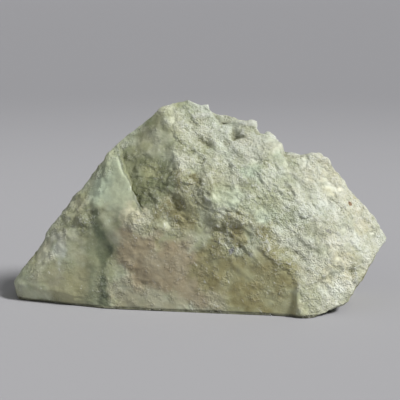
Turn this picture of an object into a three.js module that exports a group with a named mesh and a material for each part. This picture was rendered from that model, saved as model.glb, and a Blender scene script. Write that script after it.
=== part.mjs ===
// A raw boulder of jade, as it was broken from the rock: one stone, lying on its flattest face.
// Millimetres, +Z up. +X runs along the stone towards its blunt right end, and -Y is its front.
//
// A stone like this is bounded by fracture faces. Each face is a plane at some distance from a point
// deep inside, the heart, and the surface in any direction is the nearest of those planes. Then slabs
// are broken away, each down to a deeper plane on one side of an edge, and lumps and hollows are
// raised and sunk. The skin is six square grids wrapped round the stone, as on an inflated cube.

import * as THREE from 'three';

// ---------- Driving dimensions ----------
const LENGTH = 222;          // from the low left tip to the right shoulder
const HEART = [0, 4, 46];    // the point inside the stone that every distance is measured from
const CELLS = 28;            // squares along one side of each of the six grids
const DRAW_OUT = [1.6, 0.8, 0.9];   // how the round grid is stretched first, to suit a long stone
const ROUNDS = 25;           // rounds of moving each corner towards the middle of its neighbours
const PULL = 0.7;            // how far it moves in each round, as a share of the way
const CREASE_REACH = 0.45;   // a corner this close to a crease, in cells, is moved onto it
const SLIVER = 0.1;          // a split is bad when it makes a triangle this much smaller than the other's
const LUMP_REACH = 1.3;      // a lump fades out at this many times its radius
const TINY = 1e-6;           // nothing, allowing for rounding

// The faces of the stone: [degrees round from the front towards the right, degrees up, distance].
const FACES = {
  underside: [0, -90, 46],
  leftSlope: [-46, 31, 50.5],
  leftBack: [-96, 36, 70.5],
  leftTip: [-78, -12, 115],
  leftFoot: [-22, -20, 55],
  frontLeft: [-19, 13, 31],
  frontMiddle: [-13, 9, 30],
  frontOlive: [-5, 5, 35],
  frontRight: [20, 14, 48.5],
  mint: [-27, 31, 37],
  frontUpper: [3, 36, 32],
  brow: [8, 24, 30],
  upperRight: [27, 31, 44.5],
  crestLeft: [-84, 43, 74.5],
  top: [10, 82, 72.5],
  crestRight: [95, 62, 69],
  shoulder: [92, 42, 80],
  rightSlope: [88, 24, 96.2],
  chamfer: [84, -32, 97.3],
  chamferLow: [60, -54, 83],
  back: [178, 12, 41],
  backLeft: [-152, 27, 48.5],
  backRight: [144, 24, 60],
  backTop: [168, 50, 62.5],
  backLow: [170, -35, 51],
};

// The slabs broken away: a deeper face, and the edge that the break stops at. The stone falls to the
// face on the side of the edge that the edge looks towards, over a width in millimetres.
const SLABS = [
  { face: [-34, 27, 35], edge: [90, 22, -29], width: 5 },      // the dark face beside the mint one
  { face: [80, 74, 64.5], edge: [85, -20, -19.5], width: 5 },  // the crest, right of the top
  { face: [80, 66, 63.5], edge: [85, -20, 9], width: 5 },      // the crest again, where it dips
  { face: [70, 84, 46], edge: [95, -20, 28.5], width: 5 },     // the ledge below the crest
  { face: [-9, 8, 24], edge: [-100, 0, -60.5], width: 5 },     // left of the upright edge
  { face: [14, 24, 34], edge: [40, -40, 70], width: 6 },       // a chip low at the front right
  { face: [150, 14, 57], edge: [100, 40, 34], width: 14 },     // a flake off the back, to the right
  { face: [-168, 24, 38], edge: [-70, -35, 22], width: 20 },   // a flake off the back, to the left
  { face: [160, 40, 56], edge: [60, 30, 38], width: 14 },      // a thinner one above it
];

// The lumps and hollows: [x, y, z, radius, height], a hollow with a height below nothing.
const LUMPS = [
  [2, 14, 116, 8, 1],
  [-12, 14, 117, 8, 0.8],
  [-25, 11, 110, 13, 2.2],
  [27, 10, 106, 11, 2.6],
  [14, 10, 109, 8, -1.4],
  [33, 6, 102, 6, -2.2],
  [68, 10, 87, 9, 2.2],
  [5, -18, 71, 9, 3],
  [-3, -16, 72, 8, -2.6],
  [-16, -18, 61, 11, -2.4],
  [20, -26, 59, 16, 2.4],
  [-25, -8, 79, 12, -1.8],
  [24, -33, 46, 12, -2.4],
  [46, -34, 45, 9, 2],
  [59, -34, 37, 7, -2.2],
  [-56, -15, 35, 9, -2],
  [-43, -14, 53, 9, 1.6],
  [-29, -28, 30, 26, 1.6],
  [75, -12, 55, 24, 1.6],
  [83, -22, 29, 12, 1.2],
  [35, -12, 78, 20, 1.4],
  [-40, 46, 40, 30, -3],
  [22, 48, 46, 24, 2.4],
  [58, 46, 26, 20, -2.4],
  [86, 22, 48, 18, -2],
  [-78, 26, 30, 16, 2],
];

// ---------- Directions and vectors ----------

// The unit vector that looks a number of degrees round from the front and a number of degrees up.
function looking(round, up) {
  const r = THREE.MathUtils.degToRad(round);
  const u = THREE.MathUtils.degToRad(up);
  return new THREE.Vector3(Math.sin(r) * Math.cos(u), -Math.cos(r) * Math.cos(u), Math.sin(u));
}

// A plane with its outward direction, measured from the heart.
function planeFrom([round, up, distance]) {
  return { out: looking(round, up), distance };
}

// 0 below -0.5, 1 above 0.5, and an even curve between them.
function smoothStep(x) {
  return THREE.MathUtils.smoothstep(x, -0.5, 0.5);
}

// ---------- The grid that wraps the stone ----------

// Six square grids of directions on the sides of a cube, their shared edges joined.
function wrapGrid(cells) {
  const directions = [];
  const squares = [];
  const known = new Map();
  const corner = (x, y, z) => {
    const d = new THREE.Vector3(x, y, z).normalize();
    const key = [d.x, d.y, d.z].map((v) => Math.round(v / TINY)).join(' ');
    if (!known.has(key)) {
      known.set(key, directions.length);
      directions.push(d);
    }
    return known.get(key);
  };
  const sides = [
    (u, v) => [1, u, v],
    (u, v) => [-1, v, u],
    (u, v) => [v, 1, u],
    (u, v) => [u, -1, v],
    (u, v) => [u, v, 1],
    (u, v) => [v, u, -1],
  ];
  // equal angles give squares of nearly one size
  const at = (i) => Math.tan(((2 * i) / cells - 1) * (Math.PI / 4));
  for (const side of sides) {
    for (let i = 0; i < cells; i++) {
      for (let j = 0; j < cells; j++) {
        squares.push([
          corner(...side(at(i), at(j))),
          corner(...side(at(i + 1), at(j))),
          corner(...side(at(i + 1), at(j + 1))),
          corner(...side(at(i), at(j + 1))),
        ]);
      }
    }
  }
  return { directions, squares };
}

// For each corner, the corners that it shares a square's side with.
function neighboursOf(squares, count) {
  const neighbours = Array.from({ length: count }, () => new Set());
  for (const square of squares) {
    square.forEach((a, k) => {
      const b = square[(k + 1) % 4];
      neighbours[a].add(b);
      neighbours[b].add(a);
    });
  }
  return neighbours;
}

// ---------- The stone ----------

const planes = Object.values(FACES).map(planeFrom);

// The point of the faceted stone in a direction from the heart: on the nearest plane that it meets.
function onFaces(direction) {
  let reach = Infinity;
  for (const { out, distance } of planes) {
    const facing = direction.dot(out);
    if (facing > TINY) {
      reach = Math.min(reach, distance / facing);
    }
  }
  return direction.clone().multiplyScalar(reach);
}

// The corners spread evenly over the faces: each is drawn towards the middle of its neighbours and
// put back on the stone, round after round.
function spreadEvenly(directions, neighbours) {
  let points = directions.map(onFaces);
  for (let round = 0; round < ROUNDS; round++) {
    points = points.map((point, i) => {
      const middle = new THREE.Vector3();
      for (const k of neighbours[i]) {
        middle.add(points[k]);
      }
      middle.divideScalar(neighbours[i].size);
      return onFaces(point.clone().lerp(middle, PULL).normalize());
    });
  }
  return points;
}

// The mean distance from a corner to its neighbours.
function cellAt(points, neighbours, i) {
  let sum = 0;
  for (const k of neighbours[i]) {
    sum += points[i].distanceTo(points[k]);
  }
  return sum / neighbours[i].size;
}

// A corner within reach of the crease between its own face and the next is moved onto the crease, so
// that the edges of the stone run straight.
function ontoCrease(point, reach) {
  const byGap = planes
    .map(({ out, distance }) => ({ out, gap: distance - point.dot(out) }))
    .sort((a, b) => a.gap - b.gap);
  const [own, next] = byGap;
  const along = next.out.clone().addScaledVector(own.out, -own.out.dot(next.out));
  const moved = point.clone().addScaledVector(along, next.gap / along.lengthSq());
  const near = moved.distanceTo(point) < reach;
  const inside = planes.every(({ out, distance }) => moved.dot(out) < distance + TINY);
  return near && inside ? moved : point;
}

// The corners with those near a crease moved onto it. Where all four corners of a square would end up
// on creases, the one that moved furthest stays where it was, so that no square is squeezed flat.
function sharpened(points, squares, neighbours) {
  const moved = points.map((point, i) => ontoCrease(point, CREASE_REACH * cellAt(points, neighbours, i)));
  for (const square of squares) {
    if (square.every((k) => moved[k] !== points[k])) {
      const moves = square.map((k) => moved[k].distanceTo(points[k]));
      const furthest = square[moves.indexOf(Math.max(...moves))];
      moved[furthest] = points[furthest];
    }
  }
  return moved;
}

// A slab breaks away: what stands above the deeper face, past the edge, falls to that face.
function breakAway(point, { face, edge, width }) {
  const deep = planeFrom(face);
  const stop = planeFrom(edge);
  const above = Math.max(point.dot(deep.out) - deep.distance, 0);
  const past = smoothStep((point.dot(stop.out) - stop.distance) / width);
  return point.clone().addScaledVector(deep.out, -above * past);
}

// The outward direction at each corner: the sum of its squares' crossed diagonals.
function outwards(points, squares) {
  const sums = points.map(() => new THREE.Vector3());
  for (const [a, b, c, d] of squares) {
    const one = points[c].clone().sub(points[a]);
    const two = points[d].clone().sub(points[b]);
    const normal = one.cross(two);
    for (const k of [a, b, c, d]) {
      sums[k].add(normal);
    }
  }
  return sums.map((sum) => sum.normalize());
}

// A lump rises as height * (1 - (r / reach)^2)^2 at a distance r from its middle.
function raiseLump(points, squares, [x, y, z, radius, height]) {
  const middle = new THREE.Vector3(x, y, z).sub(new THREE.Vector3(...HEART));
  const normals = outwards(points, squares);
  return points.map((point, i) => {
    const share = Math.max(1 - point.distanceToSquared(middle) / (radius * LUMP_REACH) ** 2, 0);
    return point.clone().addScaledVector(normals[i], height * share * share);
  });
}

// The finished skin, with its origin under the middle of the stone, where it rests.
function stoneSkin() {
  const { directions, squares } = wrapGrid(CELLS);
  const neighbours = neighboursOf(squares, directions.length);
  const stretched = directions.map((d) => d.clone().multiply(new THREE.Vector3(...DRAW_OUT)).normalize());
  const even = sharpened(spreadEvenly(stretched, neighbours), squares, neighbours);
  const floor = -HEART[2];
  const onFloor = even.map((point) => point.z < floor + TINY);
  let points = even;
  for (const slab of SLABS) {
    points = points.map((point) => breakAway(point, slab));
  }
  for (const lump of LUMPS) {
    points = raiseLump(points, squares, lump);
  }
  // the underside stays truly flat, and nothing reaches below it
  points.forEach((point, i) => {
    point.z = onFloor[i] ? 0 : Math.max(point.z - floor, 0);
  });
  const box = new THREE.Box3().setFromPoints(points);
  const size = box.getSize(new THREE.Vector3());
  const middle = box.getCenter(new THREE.Vector3()).setZ(0);
  points.forEach((point) => point.sub(middle).multiplyScalar(LENGTH / size.x));
  return { points, squares };
}

// The area of the smaller of the two triangles that share the side from p to r.
function smallerArea(p, q, r, t) {
  const side = r.clone().sub(p);
  const areas = [q, t].map((corner) => corner.clone().sub(p).cross(side).length() / 2);
  return Math.min(...areas);
}

// The skin as triangles. Each square is split along the diagonal that stands further out, so that the
// edges of the stone stay sharp, unless that would make a sliver.
function stoneGeometry() {
  const { points, squares } = stoneSkin();
  const index = [];
  for (const [a, b, c, d] of squares) {
    const [p, q, r, t] = [a, b, c, d].map((k) => points[k]);
    const normal = r.clone().sub(p).cross(t.clone().sub(q));
    const lift = p.clone().add(r).sub(q).sub(t);
    const alongPR = smallerArea(p, q, r, t);
    const alongQT = smallerArea(q, r, t, p);
    const wanted = lift.dot(normal) > 0;
    if (wanted ? alongPR > SLIVER * alongQT : alongQT < SLIVER * alongPR) {
      index.push(a, b, c, a, c, d);
    } else {
      index.push(a, b, d, b, c, d);
    }
  }
  const geometry = new THREE.BufferGeometry();
  const numbers = points.flatMap((point) => point.toArray());
  geometry.setAttribute('position', new THREE.Float32BufferAttribute(numbers, 3));
  geometry.setIndex(index);
  geometry.computeVertexNormals();
  return geometry;
}

const jade = new THREE.MeshStandardMaterial({ color: 0xa7ac98, roughness: 0.62, metalness: 0 });

const boulder = new THREE.Mesh(stoneGeometry(), jade);
boulder.name = 'jade_boulder';

const model = new THREE.Group();
model.add(boulder);

export default model;
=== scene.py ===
# %% [markdown]
# # A raw jade boulder
#
# One stone, broken out of the rock and never cut or polished. Its form is a set of big fracture
# faces, its skin is either smooth and waxy or rough and sugary, and its colour runs from pale mint
# to olive, with cream stains and one dark green vein. The construction model gives its size and its
# big faces; this script gives it the fine surface and the stone's own look.

import bmesh
import bpy
import numpy as np
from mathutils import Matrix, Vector
from mathutils.bvhtree import BVHTree


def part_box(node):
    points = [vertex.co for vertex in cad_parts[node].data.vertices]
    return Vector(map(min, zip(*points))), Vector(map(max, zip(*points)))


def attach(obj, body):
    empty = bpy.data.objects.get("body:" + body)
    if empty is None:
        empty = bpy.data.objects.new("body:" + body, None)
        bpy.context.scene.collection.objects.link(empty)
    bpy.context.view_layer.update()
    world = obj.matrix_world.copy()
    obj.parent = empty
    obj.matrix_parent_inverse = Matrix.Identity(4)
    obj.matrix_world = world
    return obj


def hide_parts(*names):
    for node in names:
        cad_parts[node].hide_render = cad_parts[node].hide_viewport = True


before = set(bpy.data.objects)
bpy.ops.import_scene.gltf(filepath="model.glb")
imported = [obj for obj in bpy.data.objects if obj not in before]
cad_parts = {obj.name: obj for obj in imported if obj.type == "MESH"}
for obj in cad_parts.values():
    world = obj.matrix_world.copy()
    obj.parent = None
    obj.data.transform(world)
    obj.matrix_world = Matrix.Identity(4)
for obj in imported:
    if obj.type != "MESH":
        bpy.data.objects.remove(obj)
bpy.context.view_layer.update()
STONE_NODE = "jade_boulder"
LOW, HIGH = (np.array(corner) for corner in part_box(STONE_NODE))
LENGTH, _, HEIGHT = HIGH - LOW
MM = 0.001
print("stone box in mm", ((HIGH - LOW) / MM).round(1))

# %% [markdown]
# ## Camera
# The stone is seen from just above table height, a little more than three of its own lengths away,
# through a long lens. A long lens keeps the two ends of the stone at nearly the same scale.

# %% Camera
VIEW_HEIGHT = np.radians(10)
VIEW_DISTANCE = 3.32 * LENGTH
AIM = Vector((0.0022, -0.0049, 0.5135 * float(HEIGHT)))
SENSOR_WIDTH_MM = 36
LENS_MM = 114.4
NEAREST_SEEN = 0.01

camera_data = bpy.data.cameras.new("camera")
camera_data.sensor_width = SENSOR_WIDTH_MM
camera_data.lens = LENS_MM
camera_data.clip_start = NEAREST_SEEN
camera = bpy.data.objects.new("camera", camera_data)
bpy.context.scene.collection.objects.link(camera)
towards_viewer = Vector((0, -np.cos(VIEW_HEIGHT), np.sin(VIEW_HEIGHT)))
camera.location = AIM + towards_viewer * float(VIEW_DISTANCE)
camera.rotation_euler = towards_viewer.to_track_quat("Z", "Y").to_euler()
bpy.context.scene.camera = camera
bpy.context.scene.view_settings.view_transform = "Standard"
print("camera at", tuple(round(v, 3) for v in camera.location))

# %% [markdown]
# ## Floor
# A studio stands a stone on a plain sheet that curves up far behind it, so that no line shows where
# the table ends. Here the sheet is a wide bowl, a profile turned all the way round, so the stone has
# the same background on every side.

# %% Floor
FLAT_RADIUS = 12.0
BEND_RADIUS = 4.0
WALL_TOP = 5.0
HUB_RADIUS = 0.02


def mesh_object(name, points, faces):
    """Puts an array of points and a list of faces into a new smooth object at the origin."""
    mesh = bpy.data.meshes.new(name)
    mesh.from_pydata(points.tolist(), [], faces)
    mesh.polygons.foreach_set("use_smooth", [True] * len(mesh.polygons))
    made = bpy.data.objects.new(name, mesh)
    bpy.context.scene.collection.objects.link(made)
    return made


def bowl(sides=96, bend_steps=24):
    """The points and faces of a surface of two parameters, the way round and the way along a profile.

    The profile runs out flat from the middle, turns up through a quarter circle and ends as a wall:
    radius = flat radius + bend * sin(a), height = bend * (1 - cos(a)), for a from 0 to 90 degrees.
    """
    turn = np.linspace(0, np.pi / 2, bend_steps)
    radius = np.r_[HUB_RADIUS, FLAT_RADIUS + BEND_RADIUS * np.sin(turn), FLAT_RADIUS + BEND_RADIUS]
    height = np.r_[0.0, BEND_RADIUS * (1 - np.cos(turn)), WALL_TOP]
    way = np.linspace(0, 2 * np.pi, sides, endpoint=False)
    rings = np.stack(
        [
            radius[:, None] * np.cos(way),
            radius[:, None] * np.sin(way),
            np.repeat(height[:, None], sides, 1),
        ],
        -1,
    )
    index = np.arange(rings.shape[0] * sides).reshape(-1, sides)
    beside = np.roll(index, -1, 1)
    quads = np.stack([index[:-1], index[1:], beside[1:], beside[:-1]], -1).reshape(-1, 4)
    points = np.concatenate([rings.reshape(-1, 3), [[0, 0, 0]]])
    hub = np.stack([np.full(sides, len(points) - 1), beside[0], index[0]], -1)
    return points, quads.tolist() + hub.tolist()


floor = mesh_object("floor", *bowl())
print("floor faces", len(floor.data.polygons))

# %% [markdown]
# ## Nodes from code
# A material is a tree of nodes. A few helpers build such a tree here: one gives a socket its value or
# its link, one adds a node with all it needs, and the others stand for the nodes that are used most.
# Those are sums on numbers and on vectors, a smooth step from one range to another, and a colour laid
# over another.

# %% Node helpers
RANGE_SOCKETS = ("From Min", "From Max", "To Min", "To Max")


def plug(tree, socket, value):
    """Gives a socket a link, where the value is another node's socket, or else the value itself."""
    if isinstance(value, bpy.types.NodeSocket):
        tree.links.new(value, socket)
    elif socket.type == "RGBA":
        socket.default_value = (*value, 1)
    else:
        socket.default_value = value


def add(tree, kind, settings=None, **values):
    """A node with settings on it, and values or other nodes' sockets on its named inputs."""
    node = tree.nodes.new(kind)
    for key, value in (settings or {}).items():
        setattr(node, key, value)
    for label, value in values.items():
        plug(tree, node.inputs[label.replace("_", " ")], value)
    return node


def sums(tree, operation, *values, kind="ShaderNodeMath"):
    """The result of a Math node of the values, which are numbers or sockets."""
    node = add(tree, kind, {"operation": operation})
    for socket, value in zip(node.inputs, values):
        plug(tree, socket, value)
    return node.outputs[0]


def vector_sums(tree, operation, *values):
    """The same for a Vector Math node."""
    return sums(tree, operation, *values, kind="ShaderNodeVectorMath")


def product(tree, *factors):
    """All the factors multiplied together."""
    total = factors[0]
    for factor in factors[1:]:
        total = sums(tree, "MULTIPLY", total, factor)
    return total


def ranged(tree, value, from_low, from_high, to_low=0.0, to_high=1.0):
    """A smooth step from one range to another."""
    node = add(tree, "ShaderNodeMapRange", {"interpolation_type": "SMOOTHSTEP"}, Value=value)
    for label, end in zip(RANGE_SOCKETS, (from_low, from_high, to_low, to_high)):
        plug(tree, node.inputs[label], end)
    return node.outputs["Result"]


def over(tree, factor, below, above):
    """A colour laid over another by a factor."""
    node = add(tree, "ShaderNodeMix", {"data_type": "RGBA"}, Factor=factor)
    colours = [socket for socket in node.inputs if socket.type == "RGBA"]
    plug(tree, colours[0], below)
    plug(tree, colours[1], above)
    return next(socket for socket in node.outputs if socket.type == "RGBA")


print("node helpers ready, ranges from and to", RANGE_SOCKETS)

# %% [markdown]
# ## Finish of the sheet
# The sheet is matt and grey. It is a little darker far out, as a sheet is where the lamps over the
# stone no longer reach, so its grey follows the distance from the middle.

# %% Sheet finish
NEAR_RADIUS, NEAR_GREY = 0.25, (0.42, 0.42, 0.445)
FAR_RADIUS, FAR_GREY = 1.4, (0.315, 0.315, 0.338)
SHEET_ROUGHNESS = 0.9

sheet = bpy.data.materials.new("grey_sheet")
sheet.use_nodes = True
sheet_tree = sheet.node_tree
sheet_shader = sheet_tree.nodes["Principled BSDF"]
sheet_shader.inputs["Roughness"].default_value = SHEET_ROUGHNESS
sheet_place = add(sheet_tree, "ShaderNodeTexCoord").outputs["Object"]
from_middle = add(sheet_tree, "ShaderNodeVectorMath", {"operation": "LENGTH"})
plug(sheet_tree, from_middle.inputs[0], sheet_place)
far_out = ranged(sheet_tree, from_middle.outputs["Value"], NEAR_RADIUS, FAR_RADIUS)
sheet_grey = over(sheet_tree, far_out, NEAR_GREY, FAR_GREY)
plug(sheet_tree, sheet_shader.inputs["Base Color"], sheet_grey)
floor.data.materials.append(sheet)
print("sheet nodes", len(sheet_tree.nodes))

# %% [markdown]
# ## Light
# The light is high on the right and a little to the front, and wide enough for soft shadows, as a
# large softbox a few metres away gives. It makes the pale right side bright and leaves the faces that
# lean left in shade. A weak light from the left and the grey sky keep that shade open.

# %% Light
SKY_COLOUR = (0.95, 0.965, 0.94, 1)
SKY_STRENGTH = 0.2


def soft_light(name, direction, strength, width_degrees, colour):
    """A light from one direction, as wide in the sky as an angle: the wider, the softer the shadow."""
    lamp = bpy.data.lights.new(name, "SUN")
    lamp.energy = strength
    lamp.angle = np.radians(width_degrees)
    lamp.color = colour
    made = bpy.data.objects.new(name, lamp)
    way = Vector(direction).normalized()
    made.location = way * 2
    made.rotation_euler = way.to_track_quat("Z", "Y").to_euler()
    bpy.context.scene.collection.objects.link(made)
    return made


soft_light("key_light", (0.66, -0.33, 0.68), 3.5, 14, (1.0, 0.99, 0.975))
soft_light("fill_light", (-0.75, -0.75, 0.5), 0.34, 60, (1.0, 0.99, 0.90))
sky = bpy.data.worlds.new("studio")
bpy.context.scene.world = sky
sky.use_nodes = True
sky_light = sky.node_tree.nodes["Background"]
sky_light.inputs["Color"].default_value = SKY_COLOUR
sky_light.inputs["Strength"].default_value = SKY_STRENGTH

# %% [markdown]
# ## The grid that wraps the stone
# A stone has no top row and no seam, so a globe's grid of rings would pinch at its poles. Six square
# grids on the sides of a cube, blown up to a ball, wrap any round thing with squares of nearly one
# size. The grid is made coarse first and then doubled, because the corners spread over a stone much
# faster while there are few of them.

# %% Wrap


def wrap_grid(cells):
    """Six square grids of directions, welded along the edges they share.

    On each side of the cube a corner is (1, tan(a), tan(b)), with a and b from -45 to 45 degrees, and
    its direction is that vector at length one. Returns the directions, the squares, and for every
    corner of the six separate grids the number of its direction.
    """
    t = np.tan(np.linspace(-1, 1, cells + 1) * np.pi / 4)
    u, v = np.meshgrid(t, t, indexing="ij")
    one = np.ones_like(u)
    sides = [(one, u, v), (-one, v, u), (v, one, u), (u, -one, v), (u, v, one), (v, u, -one)]
    corners = np.concatenate([np.stack(side, -1).reshape(-1, 3) for side in sides])
    corners /= np.linalg.norm(corners, axis=1, keepdims=True)
    keys = np.round(corners * 1e6).astype(np.int64)
    _, first, number = np.unique(keys, axis=0, return_index=True, return_inverse=True)
    number = number.reshape(6, cells + 1, cells + 1)
    squares = np.stack(
        [number[:, :-1, :-1], number[:, 1:, :-1], number[:, 1:, 1:], number[:, :-1, 1:]], -1
    ).reshape(-1, 4)
    return corners[first], squares, number


def doubled(points, number):
    """The points of a grid with twice the cells: each new corner is halfway between old ones."""
    grid = points[number]
    six, wide = grid.shape[0], 2 * grid.shape[1] - 1
    fine = np.empty((six, wide, wide, 3))
    fine[:, ::2, ::2] = grid
    fine[:, 1::2, ::2] = (grid[:, 1:] + grid[:, :-1]) / 2
    fine[:, :, 1::2] = (fine[:, :, 2::2] + fine[:, :, :-2:2]) / 2
    _, squares, fine_number = wrap_grid(wide - 1)
    welded = np.empty((fine_number.max() + 1, 3))
    welded[fine_number] = fine
    return welded, squares, fine_number


def edges_of(squares):
    """Every side of every square once, as two corner numbers."""
    pairs = np.concatenate([squares[:, [k, (k + 1) % 4]] for k in range(4)])
    return np.unique(np.sort(pairs, 1), axis=0)


def gathered(to, values, count):
    """The sum of the rows of values that go to each corner."""
    return np.stack([np.bincount(to, column, count) for column in values.T], 1)


def neighbour_mean(values, edges, weight):
    """For each corner, the weighted mean of the values at the corners it is joined to."""
    a, b = edges.T
    total = gathered(a, values[b] * weight[b, None], len(values))
    total += gathered(b, values[a] * weight[a, None], len(values))
    share = np.bincount(a, weight[b], len(values)) + np.bincount(b, weight[a], len(values))
    return total / share[:, None]


print("a grid of 4 cells a side has", len(wrap_grid(4)[0]), "corners and", len(wrap_grid(4)[1]), "squares")

# %% [markdown]
# ## The fracture faces
# Jade is tough and breaks along old joints, so its rough form is a set of planes. Each plane looks a
# number of degrees round from the front and a number of degrees up, and lies some millimetres from
# the heart, a point deep in the stone. In any direction the surface is the nearest plane. These are
# the faces of the construction model, so the fine skin follows it closely.

# %% Faces
HEART = np.array([0, 4, 46.0])
FACES = {
    "underside": (0, -90, 46),
    "left_slope": (-46, 31, 50.5),
    "left_back": (-96, 36, 70.5),
    "left_tip": (-78, -12, 115),
    "left_foot": (-22, -20, 55),
    "front_left": (-19, 13, 31),
    "front_middle": (-13, 9, 30),
    "front_olive": (-5, 5, 35),
    "front_right": (20, 14, 48.5),
    "mint": (-27, 31, 37),
    "front_upper": (3, 36, 32),
    "brow": (8, 24, 30),
    "upper_right": (27, 31, 44.5),
    "crest_left": (-84, 43, 74.5),
    "top": (10, 82, 72.5),
    "crest_right": (95, 62, 69),
    "shoulder": (92, 42, 80),
    "right_slope": (88, 24, 96.2),
    "chamfer": (84, -32, 97.3),
    "chamfer_low": (60, -54, 83),
    "back": (178, 12, 41),
    "back_left": (-152, 27, 48.5),
    "back_right": (144, 24, 60),
    "back_top": (168, 50, 62.5),
    "back_low": (170, -35, 51),
}


def looking(round_degrees, up_degrees):
    """The unit vector (sin r cos u, -cos r cos u, sin u) for r degrees round and u degrees up."""
    r, u = np.radians(round_degrees), np.radians(up_degrees)
    return np.stack([np.sin(r) * np.cos(u), -np.cos(r) * np.cos(u), np.sin(u)], -1)


face_numbers = np.array(list(FACES.values()), float)
FACE_OUT = looking(face_numbers[:, 0], face_numbers[:, 1])
FACE_FROM_HEART = face_numbers[:, 2]


def on_faces(directions):
    """Each direction from the heart at the length distance / (direction . face), for the least face."""
    facing = directions @ FACE_OUT.T
    reach = np.where(facing > 1e-6, FACE_FROM_HEART / np.maximum(facing, 1e-6), np.inf)
    return directions * reach.min(1)[:, None]


def unit(vectors):
    """The vectors at length one."""
    return vectors / np.linalg.norm(vectors, axis=1, keepdims=True)


print("faces", len(FACES), "from", FACE_FROM_HEART.min(), "to", FACE_FROM_HEART.max(), "mm from the heart")

# %% [markdown]
# ## Spreading the grid
# Each corner is drawn towards the middle of its neighbours and put back on the faces, again and
# again, until the squares are even. The underside is hardly ever seen, so its corners pull less and
# more of them stay on the sides. Last, corners beside a crease are moved onto it, so that the big
# edges of the stone run straight.

# %% Spread
DRAW_OUT = np.array([1.6, 0.8, 0.9])
COARSE_CELLS = 16
ROUNDS_BY_LEVEL = [160, 60, 30, 12]
UNDERSIDE_PULL = 0.45
PULL = 0.7
CREASE_REACH = 0.45


def spread(points, squares, rounds):
    """Repeats point = on_faces(point + pull * (mean of its neighbours - point))."""
    edges = edges_of(squares)
    for _ in range(rounds):
        on_floor = points[:, 2] < -HEART[2] + 0.5
        weight = np.where(on_floor, UNDERSIDE_PULL, 1.0)
        mean = neighbour_mean(points, edges, weight)
        points = on_faces(unit(points + PULL * (mean - points)))
    return points


def cell_sizes(points, edges):
    """For each corner, the mean distance to the corners it is joined to."""
    a, b = edges.T
    length = np.linalg.norm(points[a] - points[b], axis=1)
    ends = np.concatenate([a, b])
    return np.bincount(ends, np.tile(length, 2)) / np.bincount(ends)


def onto_creases(points, reach):
    """Moves a corner along its own face to the next face, where that is nearer than its reach.

    With own face a, next face b and the gap g to b, the move is g * u / |u|^2, u = b - (a . b) a.
    """
    gaps = FACE_FROM_HEART - points @ FACE_OUT.T
    own, following = np.argsort(gaps, 1)[:, :2].T
    a, b = FACE_OUT[own], FACE_OUT[following]
    along = b - (a * b).sum(1, keepdims=True) * a
    gap = np.take_along_axis(gaps, following[:, None], 1)
    move = along * gap / (along**2).sum(1, keepdims=True)
    near_enough = np.linalg.norm(move, axis=1) < reach
    moved = points + move * near_enough[:, None]
    outside = ((moved @ FACE_OUT.T - FACE_FROM_HEART) > 1e-6).any(1)
    return np.where(outside[:, None], points, moved)


directions, squares, number = wrap_grid(COARSE_CELLS)
points = on_faces(unit(directions * DRAW_OUT))
for level, rounds in enumerate(ROUNDS_BY_LEVEL):
    if level:
        points, squares, number = doubled(points, number)
        points = on_faces(unit(points))
    points = spread(points, squares, rounds)
CELLS = number.shape[1] - 1
edges = edges_of(squares)
sizes = cell_sizes(points, edges)
points = onto_creases(points, CREASE_REACH * sizes)
core = points.copy()
on_floor = core[:, 2] < -HEART[2] + 1e-6
print("corners", len(points), "triangles", 2 * len(squares), "cells", sizes.mean().round(2), "mm")

# %% [markdown]
# ## Random patterns in space
# A broken surface needs two kinds of pattern. Soft noise gives slow swells, and shards give the flat
# little facets that a hammer leaves. Both are made from one hash, which turns the whole numbers of a
# cube of space into a random number that is the same on every run.

# %% Noise
MIXERS = [np.uint32(n) for n in (0x9E3779B1, 0x85EBCA77, 0xC2B2AE3D, 0x27D4EB2F)]
SCRAMBLES = ((15, 0x2C1B3C6D), (12, 0x297A2D39))


def hashed(cubes, salt):
    """A number from 0 to 1 for each row of three whole numbers: multiplied, mixed and scrambled."""
    h = np.full(cubes.shape[:-1], salt, np.uint32) * MIXERS[3]
    for axis in range(3):
        h = h ^ (cubes[..., axis].astype(np.uint32) * MIXERS[axis])
    for shift, factor in SCRAMBLES:
        h = (h ^ (h >> np.uint32(shift))) * np.uint32(factor)
    return (h ^ (h >> np.uint32(15))) / 2.0**32


def soft_noise(points, size, salt):
    """Random heights at the corners of cubes of this size, blended across each: from -1 to 1."""
    place = points / size
    home = np.floor(place).astype(np.int64)
    part = place - home
    part = part**3 * (part * (part * 6 - 15) + 10)
    total = np.zeros(len(points))
    for corner in np.ndindex(2, 2, 2):
        weight = np.where(np.array(corner), part, 1 - part).prod(1)
        total += weight * hashed(home + corner, salt)
    return 2 * total - 1


def swells(points, size, octaves, salt):
    """Soft noise at this size plus half as much at half the size, and so on."""
    total = np.zeros(len(points))
    for k in range(octaves):
        total += 0.5**k * soft_noise(points, size / 2**k, salt + k)
    return total


def bends(points, size, salt):
    """Soft noise in three directions at once."""
    return np.stack([soft_noise(points, size, salt + k) for k in range(3)], 1)


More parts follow.
